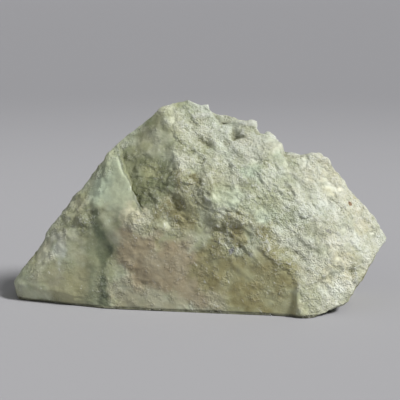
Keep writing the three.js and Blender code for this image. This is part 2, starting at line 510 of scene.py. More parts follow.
def shards(points, size, lean, salt):
    """Facets: every place belongs to the nearest of the points scattered one to a cube, and lies on
    that point's own tilted plane, lift + (lean + tilt) . (place - point).

    The shared lean lays the facets over each other like shingles. Returns heights of about -1 to 1.
    """
    place = points / size
    home = np.floor(place).astype(np.int64)
    nearest = np.full(len(points), np.inf)
    height = np.zeros(len(points))
    for offset in np.ndindex(3, 3, 3):
        cube = home + offset - 1
        seed = cube + np.stack([hashed(cube, salt + k) for k in range(3)], -1)
        apart = place - seed
        away = (apart**2).sum(1)
        tilt = np.stack([hashed(cube, salt + k) for k in range(3, 6)], -1) * 1.6 - 0.8
        plane = 0.4 * (2 * hashed(cube, salt + 6) - 1) + ((lean + tilt) * apart).sum(1)
        nearer = away < nearest
        height = np.where(nearer, plane, height)
        nearest = np.where(nearer, away, nearest)
    return height


def crumbs(points, size, salt):
    """Round crumbs: one scattered to a cube, each of its own size, as domes 1 - (distance / size)^2."""
    place = points / size
    home = np.floor(place).astype(np.int64)
    height = np.zeros(len(points))
    for offset in np.ndindex(3, 3, 3):
        cube = home + offset - 1
        seed = cube + np.stack([hashed(cube, salt + k) for k in range(3)], -1)
        away = ((place - seed) ** 2).sum(1)
        radius = 0.35 + 0.4 * hashed(cube, salt + 3)
        height = np.maximum(height, (1 - away / radius**2) * radius)
    return height


print("swells range over", np.ptp(swells(core, 9, 3, 20)).round(2), "where the size is 9 mm")

# %% [markdown]
# ## Slabs
# Where a slab has broken away, the surface falls to a deeper plane, on one side of an edge only. That
# gives the step beside the mint face and the upright edge at the right. The edge of a break is never
# a ruled line, so soft noise makes it wander. Each slab leaves two numbers on the skin, its fresh face
# and its step. Fresh faces have colours of their own, and the step beside the mint face gets painted
# shade, which holds down the light its bevel catches.

# %% Slabs
# the deeper plane, the plane of the edge, the width of the step, and the way the surface falls
SLABS = [
    ((-34, 27, 35), (90, 22, -29), 0.9, (14, 8)),
    ((80, 74, 64.5), (85, -20, -19.5), 3, (80, 74)),
    ((80, 66, 63.5), (85, -20, 9), 3, (80, 66)),
    ((70, 84, 46), (95, -20, 28.5), 3, (70, 84)),
    ((-9, 8, 24), (-100, 0, -60.5), 3.0, (-9, 8)),
    ((14, 24, 34), (40, -40, 70), 3, (14, 24)),
    ((150, 14, 57), (100, 40, 34), 8, (150, 14)),
    ((-168, 24, 38), (-70, -35, 22), 7, (-168, 24)),
    ((160, 40, 56), (60, 30, 38), 8, (160, 40)),
    ((74, -30, 96.8), (90, 0, 60), 4, (74, -30)),
]
EDGE_WANDER = 1.1


def smooth_step(x, low=0.0, high=1.0):
    """0 below low, 1 above high, and t^2 (3 - 2t) between them."""
    t = np.clip((x - low) / (high - low), 0, 1)
    return t * t * (3 - 2 * t)


fresh_faces = []
step_edges = []
for index, (face, edge, width, fall) in enumerate(SLABS):
    out, along, fall_way = looking(*face[:2]), looking(*edge[:2]), looking(*fall)
    above = points @ out - face[2]
    beyond = points @ along - edge[2] + EDGE_WANDER * swells(points, 9, 3, 20 + index)
    past = smooth_step(beyond / width, -0.5, 0.5)
    points = points - fall_way * (np.maximum(above, 0) * past / (out @ fall_way))[:, None]
    torn = above + 0.8 * swells(points, 5, 3, 40 + index)
    fresh_faces.append(smooth_step(beyond / width, -1.3, -0.2) * smooth_step(torn, -0.2, 1.6))
    step_edges.append(np.exp(-((beyond / width + 0.7) ** 2)) * smooth_step(above, 0.3, 1.5))
DARK_SLAB, OLIVE_SLAB, CHAMFER_SLAB = 0, 4, 9
dark_face, olive_face = fresh_faces[DARK_SLAB], fresh_faces[OLIVE_SLAB]
print("share of the skin on the dark face", (dark_face > 0.5).mean().round(3))

# %% [markdown]
# ## Lumps and knobs
# Lumps and hollows are smooth swellings of the surface along its own outward direction. Each is a dome
# with a soft foot, height * (1 - (distance / reach)^2)^2. The same dome in small makes the knobs and
# notches along the crest.

# %% Lumps and knobs
# each place stands on the floor, in millimetres, then come its radius and its height
LUMPS = [
    (2, 14, 116, 8, 1),
    (-12, 14, 117, 8, 0.8),
    (-25, 11, 110, 13, 2.2),
    (27, 10, 106, 11, 2.6),
    (14, 10, 109, 8, -1.4),
    (33, 6, 102, 6, -2.2),
    (68, 10, 87, 9, 2.2),
    (5, -18, 71, 9, 3),
    (-3, -16, 72, 8, -2.6),
    (-16, -18, 61, 11, -2.4),
    (20, -26, 59, 16, 2.4),
    (-25, -8, 79, 12, -1.8),
    (24, -33, 46, 12, -2.4),
    (46, -34, 45, 9, 2),
    (59, -34, 37, 7, -2.2),
    (-56, -15, 35, 9, -2),
    (-43, -14, 53, 9, 1.6),
    (-29, -28, 30, 26, 1.6),
    (75, -12, 55, 24, 1.6),
    (83, -22, 29, 12, 1.2),
    (35, -12, 78, 20, 1.4),
    (-40, 46, 40, 30, -3),
    (22, 48, 46, 24, 2.4),
    (58, 46, 26, 20, -2.4),
    (86, 22, 48, 18, -2),
    (-78, 26, 30, 16, 2),
]
# the knobs and notches along the crest, and the pocket beside the small overhang
KNOBS = [
    (-6, 16, 120, 7, 1.0),
    (3, 16, 118, 6, 1.0),
    (-1, 16, 119, 3, -1.0),
    (17, 20, 109, 8, 1.2),
    (25, 15, 108, 4, -1.3),
    (31, 13, 106, 6, 1.3),
    (38, 18, 100, 4, -1.2),
    (44, 18, 98, 6, 1.2),
    (13, -18, 69, 6, -2),
    (-15, -15, 62, 5, -1),
    (23, -27, 44, 7, -1.4),
    (58, -31, 38, 5, 1.2),
]
LUMP_REACH = 1.3


def outwards(points, squares):
    """The outward direction at each corner: the sum of its squares' crossed diagonals."""
    a, b, c, d = (points[squares[:, k]] for k in range(4))
    normals = np.cross(c - a, d - b)
    total = sum(gathered(squares[:, k], normals, len(points)) for k in range(4))
    return unit(total)


smooth_skin = points.copy()
for x, y, z, radius, height in LUMPS + KNOBS:
    away = ((points - (np.array([x, y, z]) - HEART)) ** 2).sum(1)
    share = np.maximum(1 - away / (radius * LUMP_REACH) ** 2, 0)
    points = points + outwards(points, squares) * (height * share**2)[:, None]
moved = np.linalg.norm(points - smooth_skin, axis=1)
print("lumps move the skin by up to", moved.max().round(1), "mm")

# %% [markdown]
# ## Gashes
# Gashes are short grooves where a wedge has sprung out. Each runs between two places, with a section
# like a V that narrows along its way, and soft noise bends it. After them, nothing reaches below the
# floor.

# %% Gashes
# two ends round the heart, half width, depth
GASHES = [
    ((13, 11, 65), (22, -1, 52), 4.5, 1.9),
    ((1, -3, 53), (5, -5, 46), 3.6, 1.0),
    ((10, -3, 50), (18, -7, 46), 3.4, 1.0),
    ((7, -22, 29), (15, -26, 15), 6.0, 1.5),
    ((-22, -15, 20), (-12, -20, 12), 5.0, 1.1),
    ((-8, -15, 35), (0, -19, 24), 5.0, 1.3),
    ((14, -26, 3), (28, -29, -4), 5.0, 1.4),
    ((-4, -26, -13), (14, -28, -7), 4.0, 0.8),
    ((36, -18, 30), (44, -20, 20), 3.4, 0.9),
    ((59, -34, -6), (62, -35, -14), 2.6, 1.0),
    ((-24, 44, 30), (-8, 48, 12), 5.0, 1.6),
    ((36, 48, 14), (50, 46, -4), 5.0, 1.5),
    ((64, 36, 30), (74, 32, 18), 4.0, 1.2),
    ((-60, 36, 4), (-46, 42, -14), 4.6, 1.3),
    ((4, 50, -8), (20, 51, -24), 4.0, 1.2),
]


def line_distance(points, start, end):
    """How far each point is from the piece of line between two ends, and its share t of the way along.

    t = (point - start) . (end - start) / |end - start|^2, kept between 0 and 1.
    """
    way = end - start
    t = np.clip((points - start) @ way / (way @ way), 0, 1)
    return np.linalg.norm(points - start - t[:, None] * way, axis=1), t


gash = np.zeros(len(points))
for index, (start, end, width, depth) in enumerate(GASHES):
    bent = points + 0.5 * width * bends(points, 5, 400 + 3 * index)
    away, t = line_distance(bent, np.array(start, float), np.array(end, float))
    gash = np.maximum(gash, depth * np.maximum(1 - away / (width * (1.2 - 0.6 * t)), 0))
points = points - outwards(points, squares) * gash[:, None]
points[:, 2] = np.where(on_floor, -HEART[2], np.maximum(points[:, 2], -HEART[2]))
print("deepest gash", gash.max().round(1), "mm")

# %% [markdown]
# ## Fitting the construction model's box
# The skin is still in millimetres round the heart. It is moved so that it stands on the floor in the
# middle of the construction model's box, and scaled to that box's length.

# %% Fit
SAMPLES = 2000
standing = points + [0, 0, HEART[2]]
low, high = standing.min(0), standing.max(0)
SCALE = LENGTH / MM / (high - low)[0]
MIDDLE = (low + high) / 2 * [1, 1, 0]


def placed(points):
    """Points round the heart, in millimetres, as points of the finished stone in metres."""
    return (points + [0, 0, HEART[2]] - MIDDLE) * SCALE * MM


cad_mesh = bmesh.new()
cad_mesh.from_mesh(bpy.data.objects[STONE_NODE].data)
cad_tree = BVHTree.FromBMesh(cad_mesh)
sample = placed(points)[:: len(points) // SAMPLES]
gaps_mm = np.array([cad_tree.find_nearest(Vector(p))[3] for p in sample]) / MM
cad_mesh.free()
print("fine faces lie from the solid, mm: mean", gaps_mm.mean().round(2), "most", gaps_mm.max().round(2))

# %% [markdown]
# ## Rugged and sugary
# Some faces split along a clean joint and are smooth and waxy. Others tore through the grain: they
# are rugged, with facets and ledges centimetres across, and sugary, with crumbs a few millimetres
# across and less. Each face gets a number for both, and patches on the front change it locally. Where
# two faces meet, the numbers blend over a few millimetres.

# %% Rugged and sugary
FACE_BLEND = 3.0
RUGGED_SWAY, SUGARY_SWAY = 0.35, 0.5
PATCH_RAGGED = 0.3
RUGGED_SUGARY = {
    "underside": (0.5, 0.5),
    "left_slope": (0.35, 0.5),
    "left_back": (0.5, 0.5),
    "left_tip": (0.2, 0.25),
    "left_foot": (0.1, 0.1),
    "front_left": (0.22, 0.15),
    "front_middle": (0.03, 0.04),
    "front_olive": (0.12, 0.25),
    "front_right": (0.5, 0.6),
    "mint": (0.04, 0.03),
    "front_upper": (1.0, 0.8),
    "brow": (1.0, 0.75),
    "upper_right": (0.6, 0.8),
    "crest_left": (0.6, 0.6),
    "top": (1.0, 0.9),
    "crest_right": (1.0, 0.85),
    "shoulder": (0.7, 0.85),
    "right_slope": (0.6, 0.8),
    "chamfer": (0.3, 0.3),
    "chamfer_low": (0.5, 0.6),
    "back": (0.8, 0.6),
    "back_left": (0.7, 0.5),
    "back_right": (0.9, 0.9),
    "back_top": (0.9, 0.8),
    "back_low": (0.6, 0.6),
}
# the fresh faces that slabs have left, rugged, sugary
SLAB_FINISH = [(dark_face, 0.3, 0.3), (olive_face, 0.12, 0.25)]
# place round the heart, radius, rugged, sugary
PATCHES = [
    ((-2, -20, 22), 20, 0.75, 0.6),
    ((-22, -16, 14), 14, 0.5, 0.4),
    ((22, -27, 4), 18, 1.0, 0.8),
    ((48, -30, 4), 13, 0.9, 0.9),
    ((-36, -18, 6), 9, 0.4, 0.55),
    ((-68, -9, 4), 9, 0.6, 0.5),
    ((56, -34, -16), 9, 0.7, 0.9),
    ((44, -4, 47), 8, 0.5, 0.45),
    ((48, -9, 38), 9, 0.4, 0.5),
    ((30, -13, 37), 7, 0.5, 0.4),
    ((15, -23, 21), 9, 0.5, 0.4),
    ((36, -24, 11), 7, 0.5, 0.6),
]


def near(points, place, radius, ragged, salt):
    """1 in the middle of a round patch and 0 well outside it, its wide soft edge made ragged by noise."""
    away = np.linalg.norm(points - np.array(place, float), axis=1) / radius
    noise = swells(points, 0.7 * radius, 4, salt)
    return 1 - smooth_step(away + ragged * noise, 0.35, 1.25)


gaps = np.maximum(FACE_FROM_HEART - core @ FACE_OUT.T, 0)
belongs = np.exp(-gaps / FACE_BLEND)
belongs /= belongs.sum(1, keepdims=True)
face_of = dict(zip(FACES, belongs.T))
numbers = np.array([RUGGED_SUGARY[name] for name in FACES])
rugged, sugary = (belongs @ numbers).T
for slab_face, slab_rugged, slab_sugary in SLAB_FINISH:
    rugged += slab_face * (slab_rugged - rugged)
    sugary += slab_face * (slab_sugary - sugary)
for place, radius, patch_rugged, patch_sugary in PATCHES:
    share = near(points, place, radius, PATCH_RAGGED, 40)
    rugged += share * (patch_rugged - rugged)
    sugary += share * (patch_sugary - sugary)
rugged *= 1 + RUGGED_SWAY * swells(points, 22, 2, 50)
sugary *= 1 + SUGARY_SWAY * swells(points, 11, 3, 54)
sugary = np.clip(sugary, 0, 1)
print("rugged, sugary on average", rugged.mean().round(2), sugary.mean().round(2))

# %% [markdown]
# ## Relief
# Jade grows as felted fibres, and here they run down to the right, so the facets and pits are drawn
# out that way, and the facets overlap like shingles that face up to the right. First the old creases
# at the left end are rounded, and the whole form is bent a little by soft noise, so that no big edge
# runs dead straight.
#
# The relief on it is a height along the outward direction: slow swells everywhere, shards in three
# sizes where the stone is rugged, crumbs and pits where it is sugary, and chips knocked off along the
# big creases. Each line of the sum is an amount in millimetres times a pattern of a size.

# %% Relief
FABRIC = np.array([0.62, -0.12, -0.78])
FABRIC /= np.linalg.norm(FABRIC)
FABRIC_STRETCH = 1.35
LEAN = 0.5 * np.array([-0.78, 0, -0.62])
WORN_ROUNDS = 40
FORM_ROUNDS = 14


def along_fabric(points):
    """Space squeezed along the fabric, so that what is round in it comes out drawn out."""
    along = points @ FABRIC
    return points + (1 / FABRIC_STRETCH - 1) * along[:, None] * FABRIC


def smoothed(values, edges, rounds, share=0.6):
    """Each value moved a share of the way to its neighbours' mean, round after round."""
    even = np.ones(len(values))
    for _ in range(rounds):
        values = values + share * (neighbour_mean(values, edges, even) - values)
    return values


edges = edges_of(squares)
fade = np.where(on_floor, 0.0, 1.0)
worn_round = face_of["left_foot"] + face_of["left_tip"] + face_of["left_slope"]
points = smoothed(points, edges, WORN_ROUNDS, 0.6 * (worn_round * fade)[:, None])
wobble = 1.2 * bends(points, 17, 60) + 0.7 * bends(points, 7, 70)
points = points + wobble * (fade * (0.45 + 0.55 * rugged))[:, None]
grain = along_fabric(points + 0.8 * bends(points, 9, 90) + 0.3 * bends(points, 3.5, 96))
crease = smooth_step(np.partition(gaps, 1, axis=1)[:, 1], 3.0, 0.3)
chipped = crease * smooth_step(swells(points, 8, 3, 190), -0.1, 0.7)
relief = (
    0.9 * swells(points, 46, 2, 160)
    + (0.4 + 0.6 * rugged) * 0.6 * swells(points, 19, 3, 170)
    + rugged * 0.6 * swells(points, 10, 2, 176)
    + rugged * 1.1 * shards(grain, 12, LEAN, 100)
    + (0.05 + 0.95 * rugged) * 0.85 * shards(grain, 6.5, LEAN, 120)
    + (0.07 + 0.93 * sugary) * 0.65 * shards(grain, 3.2, LEAN, 140)
    + (0.02 + 0.98 * sugary) * 0.6 * crumbs(points + 0.5 * bends(points, 2, 99), 2.3, 150)
    - sugary * 0.5 * smooth_step(soft_noise(grain, 3.4, 180), 0.4, 0.8)
    - (0.5 + 0.7 * rugged) * chipped
)
outward = outwards(smoothed(points, edges, FORM_ROUNDS), squares)
rough_points = points + outward * ((relief - np.average(relief)) * fade)[:, None]
print("relief from", relief.min().round(1), "to", relief.max().round(1), "mm")

# %% [markdown]
# ## Worn edges
# Handling rubs the sharp edges first. A round of smoothing takes the knife edges off every facet, more
# of it where the stone is smooth. The underside gets a rim that stands a fraction of a millimetre
# clear of the floor, as the bottom edge of a real stone does.
#
# How far each place stands out from the smoothed form is kept as two numbers, one for crumbs and one
# for ledges: knocks whiten what stands out, and what lies deep gets a little earth and painted shade.

# %% Wear
CRUMB_ROUNDS, LEDGE_ROUNDS = 6, 60
wear = (0.75 - 0.5 * np.clip(sugary, 0, 1))[:, None]
rough_points = smoothed(rough_points, edges, 1, wear)
floor_height = -HEART[2]
rim_lift = 0.9 + 0.5 * soft_noise(points, 7, 200)
depth_inside = smoothed(on_floor.astype(float)[:, None], edges, 3)[:, 0]
rim = on_floor * (1 - smooth_step(depth_inside, 0.6, 1.0))
hollow_floor = 0.5 * np.maximum(swells(points, 16, 3, 210), 0)
rough_points[:, 2] = np.where(
    on_floor,
    floor_height + rim * rim_lift + hollow_floor,
    np.maximum(rough_points[:, 2], floor_height + 0.4 * rim_lift),
)


def standing_out(points, edges, rounds):
    """How many millimetres each corner stands out from the form smoothed for a number of rounds."""
    base = smoothed(points, edges, rounds)
    return ((points - base) * outwards(base, squares)).sum(1)


above_floor = smooth_step(rough_points[:, 2] - floor_height, 1.0, 5.0)
crumb_bulge = standing_out(rough_points, edges, CRUMB_ROUNDS) * above_floor
ledge_bulge = standing_out(rough_points, edges, LEDGE_ROUNDS) * above_floor
print("crumbs stand out", np.percentile(crumb_bulge, [5, 50, 95]).round(2), "mm")
print("ledges stand out", np.percentile(ledge_bulge, [5, 50, 95]).round(2), "mm")

# %% [markdown]
# ## Stains
# The stains of the stone are patches with wide ragged edges: minerals that crept in along cracks, and
# iron that rusted. The dusk patches are brownish stains, except on the chamfer underside at the right
# end, where the same colour is painted shade. Each kind is kept on the skin as a number from 0 to 1,
# which the material mixes in. The places are given round the heart.

# %% Stains
# zone: list of (place, radius, strength)
STAINS = {
    "mint": [
        ((-50, -4, 28), 21, 1.0),
        ((-52, -10, 17), 13, 1.0),
        ((47, -8, 40), 13, 0.62),
        ((30, -14, 36), 8, 0.75),
        ((4, 8, 68), 13, 0.5),
        ((14, -23, 22), 11, 0.6),
        ((36, -24, 11), 8, 0.5),
        ((-20, 44, 20), 34, 0.8),
        ((70, 38, 8), 22, 0.6),
    ],
    "olive": [
        ((30, -33, -30), 26, 1.0),
        ((8, -29, -22), 20, 0.9),
        ((44, -34, -22), 19, 0.95),
        ((-30, -20, 2), 16, 0.7),
        ((-64, -12, -2), 10, 0.5),
        ((-10, -19, 8), 14, 0.85),
        ((-18, -16, 24), 13, 0.65),
        ((0, -22, 14), 12, 0.5),
        ((18, -27, 4), 13, 0.5),
        ((40, -28, -2), 14, 0.6),
        ((46, -36, -42), 13, 0.75),
        ((62, -37, -46), 9, 0.6),
        ((30, 48, -12), 30, 0.9),
        ((-74, 30, -20), 24, 0.7),
    ],
    "mauve": [
        ((-40, -22, -14), 17, 1.0),
        ((-20, -26, -20), 19, 1.0),
        ((-6, -28, -26), 15, 1.0),
        ((2, 46, -24), 18, 0.6),
    ],
    "dusk_stain_and_shade": [
        ((-76, -14, -38), 20, 0.9),
        ((-94, 0, -28), 16, 0.7),
        ((-66, 2, 8), 13, 0.5),
        # painted shade on the chamfer underside at the right end
        ((96, -12, -34), 24, 0.9),
        ((8, -26, 3), 12, 0.65),
        ((-8, -19, 18), 10, 0.65),
    ],
    "cream": [
        ((84, -6, 18), 14, 0.5),
        ((78, -29, -18), 14, 0.65),
        ((-38, -18, 8), 9, 0.65),
        ((92, -8, -2), 10, 0.6),
        ((74, -2, 34), 14, 0.5),
        ((-94, -2, -18), 9, 0.7),
        ((60, 30, 30), 16, 0.7),
        ((-30, 30, 44), 14, 0.6),
    ],
    "frost": [
        ((32, -4, 48), 17, 0.9),
        ((44, -28, 2), 5, 0.9),
        ((50, -30, -5), 6, 1.0),
        ((55, -32, -12), 5, 0.9),
        ((68, -20, 10), 18, 0.6),
        ((62, -8, 30), 14, 0.6),
        ((6, 4, 62), 18, 0.6),
        ((62, -32, -20), 12, 0.6),
        ((90, 24, 4), 16, 0.6),
        ((-85, -6, -6), 7, 1.0),
        ((-84, -9, -15), 8, 1.0),
    ],
    "brown": [
        ((-17, -17, 15), 7, 0.8),
        ((-5, -17, 28), 6, 0.65),
        ((21, -28, -2), 7, 0.8),
        ((34, -28, 2), 6, 0.6),
        ((6, -27, -9), 6, 0.5),
        ((-12, 1, 46), 7, 0.65),
        ((2, -28, -30), 6, 0.55),
        ((1, -28, -22), 11, 0.75),
        ((44, -35, -28), 10, 0.6),
        ((26, -34, -36), 8, 0.55),
        ((10, 50, 4), 12, 0.7),
        ((-40, 44, -20), 10, 0.6),
    ],
    "straw": [((-31, -6, 34), 7, 0.65), ((-27, -8, 30), 5, 0.6)],
    "moss": [
        ((-29, -9, 27), 3.5, 0.75),
        ((-30, 9, 60), 6, 0.65),
        ((-24, 2, 52), 4, 0.5),
        ((-60, -6, 6), 5, 0.5),
        ((-10, 46, 34), 7, 0.6),
    ],
    "sand": [
        ((-40, -22, -38), 16, 0.9),
        ((-22, -26, -43), 14, 0.85),
        ((-50, -20, -36), 9, 0.7),
        ((6, -30, -44), 14, 0.7),
        ((-88, -6, -30), 12, 0.6),
        ((30, 50, -36), 18, 0.6),
    ],
    "lead": [((17, -29, -10), 2.4, 0.9), ((73, -23, 0), 2.2, 0.7)],
    "rust": [((88, -6, 14), 1.8, 1.0), ((90, -4, 8), 1.0, 0.8)],
}
zones = {}
for salt, (name, spots) in enumerate(STAINS.items()):
    total = np.zeros(len(points))
    for spot, (place, radius, strength) in enumerate(spots):
        share = near(points, place, radius, 0.4, 300 + 20 * salt + spot)
        total = np.maximum(total, strength * share)
    zones[name] = total
print("stained share of the skin", {name: float(value.mean().round(3)) for name, value in zones.items()})

# %% [markdown]
# ## The vein
# A dark mineral fills one thin crack near the left end. It is a line of places, each with its own
# width, bent by noise. A wider, paler shade lies beside it, where the mineral soaked into the stone.

# %% Vein
# each place on the vein, and how wide the dark mineral is there
VEIN = [
    ((-62, -9, 8), 1.8),
    ((-59, -12, -4), 2.8),
    ((-56, -15, -12), 3.0),
    ((-57, -16, -20), 2.4),
    ((-58, -18, -28), 1.5),
    ((-58, -20, -36), 1.6),
    ((-57, -21, -44), 2.4),
]


def along_vein(points, width_factor, salt):
    """1 on the vein and 0 beyond its width: the least of distance / width over its short pieces."""
    bent = points + 1.5 * bends(points, 6, salt) + 0.6 * bends(points, 2.5, salt + 3)
    least = np.full(len(points), np.inf)
    for (start, wide), (end, next_wide) in zip(VEIN, VEIN[1:]):
        away, t = line_distance(bent, np.array(start, float), np.array(end, float))
        least = np.minimum(least, away / (wide + t * (next_wide - wide)))
    return 1 - smooth_step(least, 0.2 * width_factor, 1.5 * width_factor)


zones["vein"] = along_vein(points, 1.9, 280)
zones["vein_shade"] = 0.8 * along_vein(points + [3, 0, 0], 4.0, 286)
print("share of the skin in the vein", (zones["vein"] > 0.5).mean().round(4))

# %% [markdown]
# ## Zones
# The other zones follow the faces. The faces that weather most are chalky, the dark slab face is darker
# than the rest, its step gets painted shade against the light its bevel catches, and a thin line of
# painted shade runs along the foot, where the stone meets the floor.
# The stains are held back where a face doesn't take them. The numbers that steer the finish, sugary
# and standing out, go with the zones.

# %% Zones
# how chalky the faces are that weather most
CHALK = {
    "front_right": 0.95,
    "right_slope": 0.95,
    "shoulder": 0.9,
    "upper_right": 0.95,
    "crest_right": 0.8,
    "top": 0.6,
    "back_right": 0.5,
}
zones["olive"] *= 1 - 0.8 * face_of["front_right"] * (1 - olive_face)
# the chamfer's fresh face gets the dusk colour as painted shade
zones["dusk_stain_and_shade"] = np.maximum(zones["dusk_stain_and_shade"], 0.9 * fresh_faces[CHAMFER_SLAB])
zones["mint"] *= 1 - 0.7 * dark_face
zones["dark"] = dark_face * (1 - 0.85 * smooth_step(points[:, 2], 30, 50))
zones["chalk"] = (belongs @ np.array([CHALK.get(name, 0.0) for name in FACES])) * (1 - olive_face)
# painted shade on the step beside the mint face, to hold down the light its bevel catches
zones["painted_step_shade"] = step_edges[DARK_SLAB]
# a thin band of painted shade along the foot, where the stone meets the floor
zones["base"] = 1 - smooth_step(rough_points[:, 2] - floor_height, 0.9, 2.4)
zones["sugar"] = sugary
zones["crumb_bulge"] = crumb_bulge
zones["ledge_bulge"] = ledge_bulge
print("zones", {name: round(float(value.mean()), 3) for name, value in zones.items()})

# %% [markdown]
# ## The mesh
# The corners and squares go into one closed mesh, each square split along the diagonal that stands
# further out. The zones go in as attributes, and the six grids are laid side by side as a map.

# %% Mesh
MAP_COLUMNS = 3
MAP_MARGIN = 0.01


def split_squares(points, squares):
    """Two triangles for each square, sharing the diagonal that stands further out."""
    a, b, c, d = (points[squares[:, k]] for k in range(4))
    first_higher = ((a + c - b - d) * np.cross(c - a, d - b)).sum(1) > 0
    one = np.where(first_higher[:, None], [[0, 1, 2]], [[0, 1, 3]])
    two = np.where(first_higher[:, None], [[0, 2, 3]], [[1, 2, 3]])
    return np.stack([one, two], 1).reshape(-1, 3)


def grid_map(cells):
    """For each corner of each square, its place on a map where each grid has a third by a half."""
    i, j = np.meshgrid(np.arange(cells), np.arange(cells), indexing="ij")
    u = np.stack([i, i + 1, i + 1, i], -1).reshape(-1, 4) / cells
    v = np.stack([j, j, j + 1, j + 1], -1).reshape(-1, 4) / cells
    margin, scale = MAP_MARGIN, 1 - 2 * MAP_MARGIN
    tiles = []
    for grid in range(6):
        column, row = grid % MAP_COLUMNS, grid // MAP_COLUMNS
        across = (column + margin + scale * u) / MAP_COLUMNS
        up = (row + margin + scale * v) / 2
        tiles.append(np.stack([across, up], -1))
    return np.concatenate(tiles)


finished = placed(rough_points)
pick = split_squares(finished, squares)
which = np.repeat(np.arange(len(squares)), 2)[:, None]
triangles = squares[which, pick]
stone = mesh_object("jade_boulder_skin", finished, triangles.tolist())
mesh = stone.data
for name, values in zones.items():
    layer = mesh.attributes.new(name, "FLOAT", "POINT")
    layer.data.foreach_set("value", values.astype(np.float32))
uv_layer = mesh.uv_layers.new(name="OFBake")
uv_layer.uv.foreach_set("vector", grid_map(CELLS)[which, pick].astype(np.float32).ravel())
mesh.update()
print("triangles", len(mesh.polygons), "box mm", (np.ptp(finished, axis=0) / MM).round(1))

# %% [markdown]
# ## Ragged edges
# Four patterns are node groups, with named inputs for their sizes, so that a material can use them
# with its own values. The first is the ragged edge of a stain: noise tears the edge of a zone, and the
# step across it is soft.

# %% Ragged edge group


def new_group(name, inputs, outputs):
    """An empty node group with named number inputs (name, value) and named number outputs."""
    group = bpy.data.node_groups.new(name, "ShaderNodeTree")
    for label, value in inputs:
        socket = group.interface.new_socket(label, in_out="INPUT", socket_type="NodeSocketFloat")
        socket.default_value = value
    for label in outputs:
        group.interface.new_socket(label, in_out="OUTPUT", socket_type="NodeSocketFloat")
    return group, group.nodes.new("NodeGroupInput"), group.nodes.new("NodeGroupOutput")


def grouped(tree, group, **values):
    """A node that holds a group, with values on its named inputs."""
    return add(tree, "ShaderNodeGroup", {"node_tree": group}, **values)


def noise_scale(tree, size_mm):
    """A texture's scale for a size in millimetres, because Object coordinates are in metres."""
    return sums(tree, "DIVIDE", 1 / MM, size_mm)


def ragged_edge_group():
    """A stain's edge torn by noise: smooth step of zone + raggedness * zone edge * (noise - 0.5).

    The zone edge is 4 z (1 - z), so noise tears the edge only and leaves no specks far away.
    """
    group, inside, outside = new_group(
        "ragged edge",
        [("Zone", 0), ("Grain Size mm", 4), ("Raggedness", 0.6), ("Softness", 0.3)],
        ["Mask"],
    )
    place = add(group, "ShaderNodeTexCoord").outputs["Object"]
    scale = noise_scale(group, inside.outputs["Grain Size mm"])
    noise = add(group, "ShaderNodeTexNoise", Vector=place, Scale=scale, Detail=6, Roughness=0.65)
    zone = inside.outputs["Zone"]
    edge = product(group, zone, sums(group, "SUBTRACT", 1, zone), 4)
    swing = product(group, sums(group, "SUBTRACT", noise.outputs["Fac"], 0.5), edge)
    torn = sums(group, "MULTIPLY_ADD", swing, inside.outputs["Raggedness"], zone)
    low = sums(group, "SUBTRACT", 0.5, inside.outputs["Softness"])
    high = sums(group, "ADD", 0.5, inside.outputs["Softness"])
    plug(group, outside.inputs["Mask"], ranged(group, torn, low, high))
    return group


RAGGED = ragged_edge_group()
print("group", RAGGED.name, "with", len(RAGGED.nodes), "nodes")

# %% [markdown]
# ## Sugary grain
# The crumbs are too small and too many for the mesh, so the finest of them are a pattern: cells of
# Voronoi noise, bent a little, each with its own tone and a rounded height.

# %% Sugary grain group


def sugar_group():
    """Height = smooth step of the distance to the cell's edge + 0.6 * the cell's random number."""
    group, inside, outside = new_group("sugary grain", [("Crumb Size mm", 1.2)], ["Height", "Tone"])
    place = add(group, "ShaderNodeTexCoord").outputs["Object"]
    scale = noise_scale(group, inside.outputs["Crumb Size mm"])
    bend = add(group, "ShaderNodeTexNoise", Vector=place, Scale=scale, Detail=2)
    shift = add(group, "ShaderNodeVectorMath", {"operation": "SCALE"}, Scale=0.8 * MM)
    plug(group, shift.inputs[0], bend.outputs["Color"])
    bent = vector_sums(group, "ADD", place, shift.outputs[0])
    cells = add(group, "ShaderNodeTexVoronoi", Vector=bent, Scale=scale, Randomness=1.0)
    to_edge = {"feature": "DISTANCE_TO_EDGE"}
    edge = add(group, "ShaderNodeTexVoronoi", to_edge, Vector=bent, Scale=scale)
    tone = add(group, "ShaderNodeSeparateColor", Color=cells.outputs["Color"])
    rounded = ranged(group, edge.outputs["Distance"], 0.0, 0.35)
    plug(group, outside.inputs["Height"], sums(group, "MULTIPLY_ADD", tone.outputs[0], 0.6, rounded))
    plug(group, outside.inputs["Tone"], tone.outputs[1])
    return group


SUGAR = sugar_group()
print("group", SUGAR.name, "with", len(SUGAR.nodes), "nodes")

# %% [markdown]
# ## Fibres and flakes
# Jade is felted fibre, and its colour is streaked along them. The streaks are noise in space that is
# turned and squeezed along the fabric, so that round spots come out long. White flakes are the few
# streaks that stand above a threshold, so their group holds the fibres' group.

# %% Fibre and flake groups
FLAKE_STRETCH = 2.5
FLAKE_SOFTNESS = 0.07


def fibre_group():
    """Noise of the place turned until the fabric lies along x, and divided along x by the stretch."""
    group, inside, outside = new_group(
        "felted fibres", [("Fibre Width mm", 1.5), ("Stretch", 5)], ["Streak"]
    )
    place = add(group, "ShaderNodeTexCoord").outputs["Object"]
    turn = Vector(FABRIC).to_track_quat("X", "Z").inverted().to_euler()
    turned = add(group, "ShaderNodeMapping", Vector=place, Rotation=turn)
    shrink = sums(group, "DIVIDE", 1, inside.outputs["Stretch"])
    squeeze = add(group, "ShaderNodeCombineXYZ", X=shrink, Y=1.0, Z=1.0)
    squeezed = vector_sums(group, "MULTIPLY", turned.outputs[0], squeeze.outputs[0])
    scale = noise_scale(group, inside.outputs["Fibre Width mm"])
    noise = add(group, "ShaderNodeTexNoise", Vector=squeezed, Scale=scale, Detail=5, Roughness=0.65)
    plug(group, outside.inputs["Streak"], noise.outputs["Fac"])
    return group


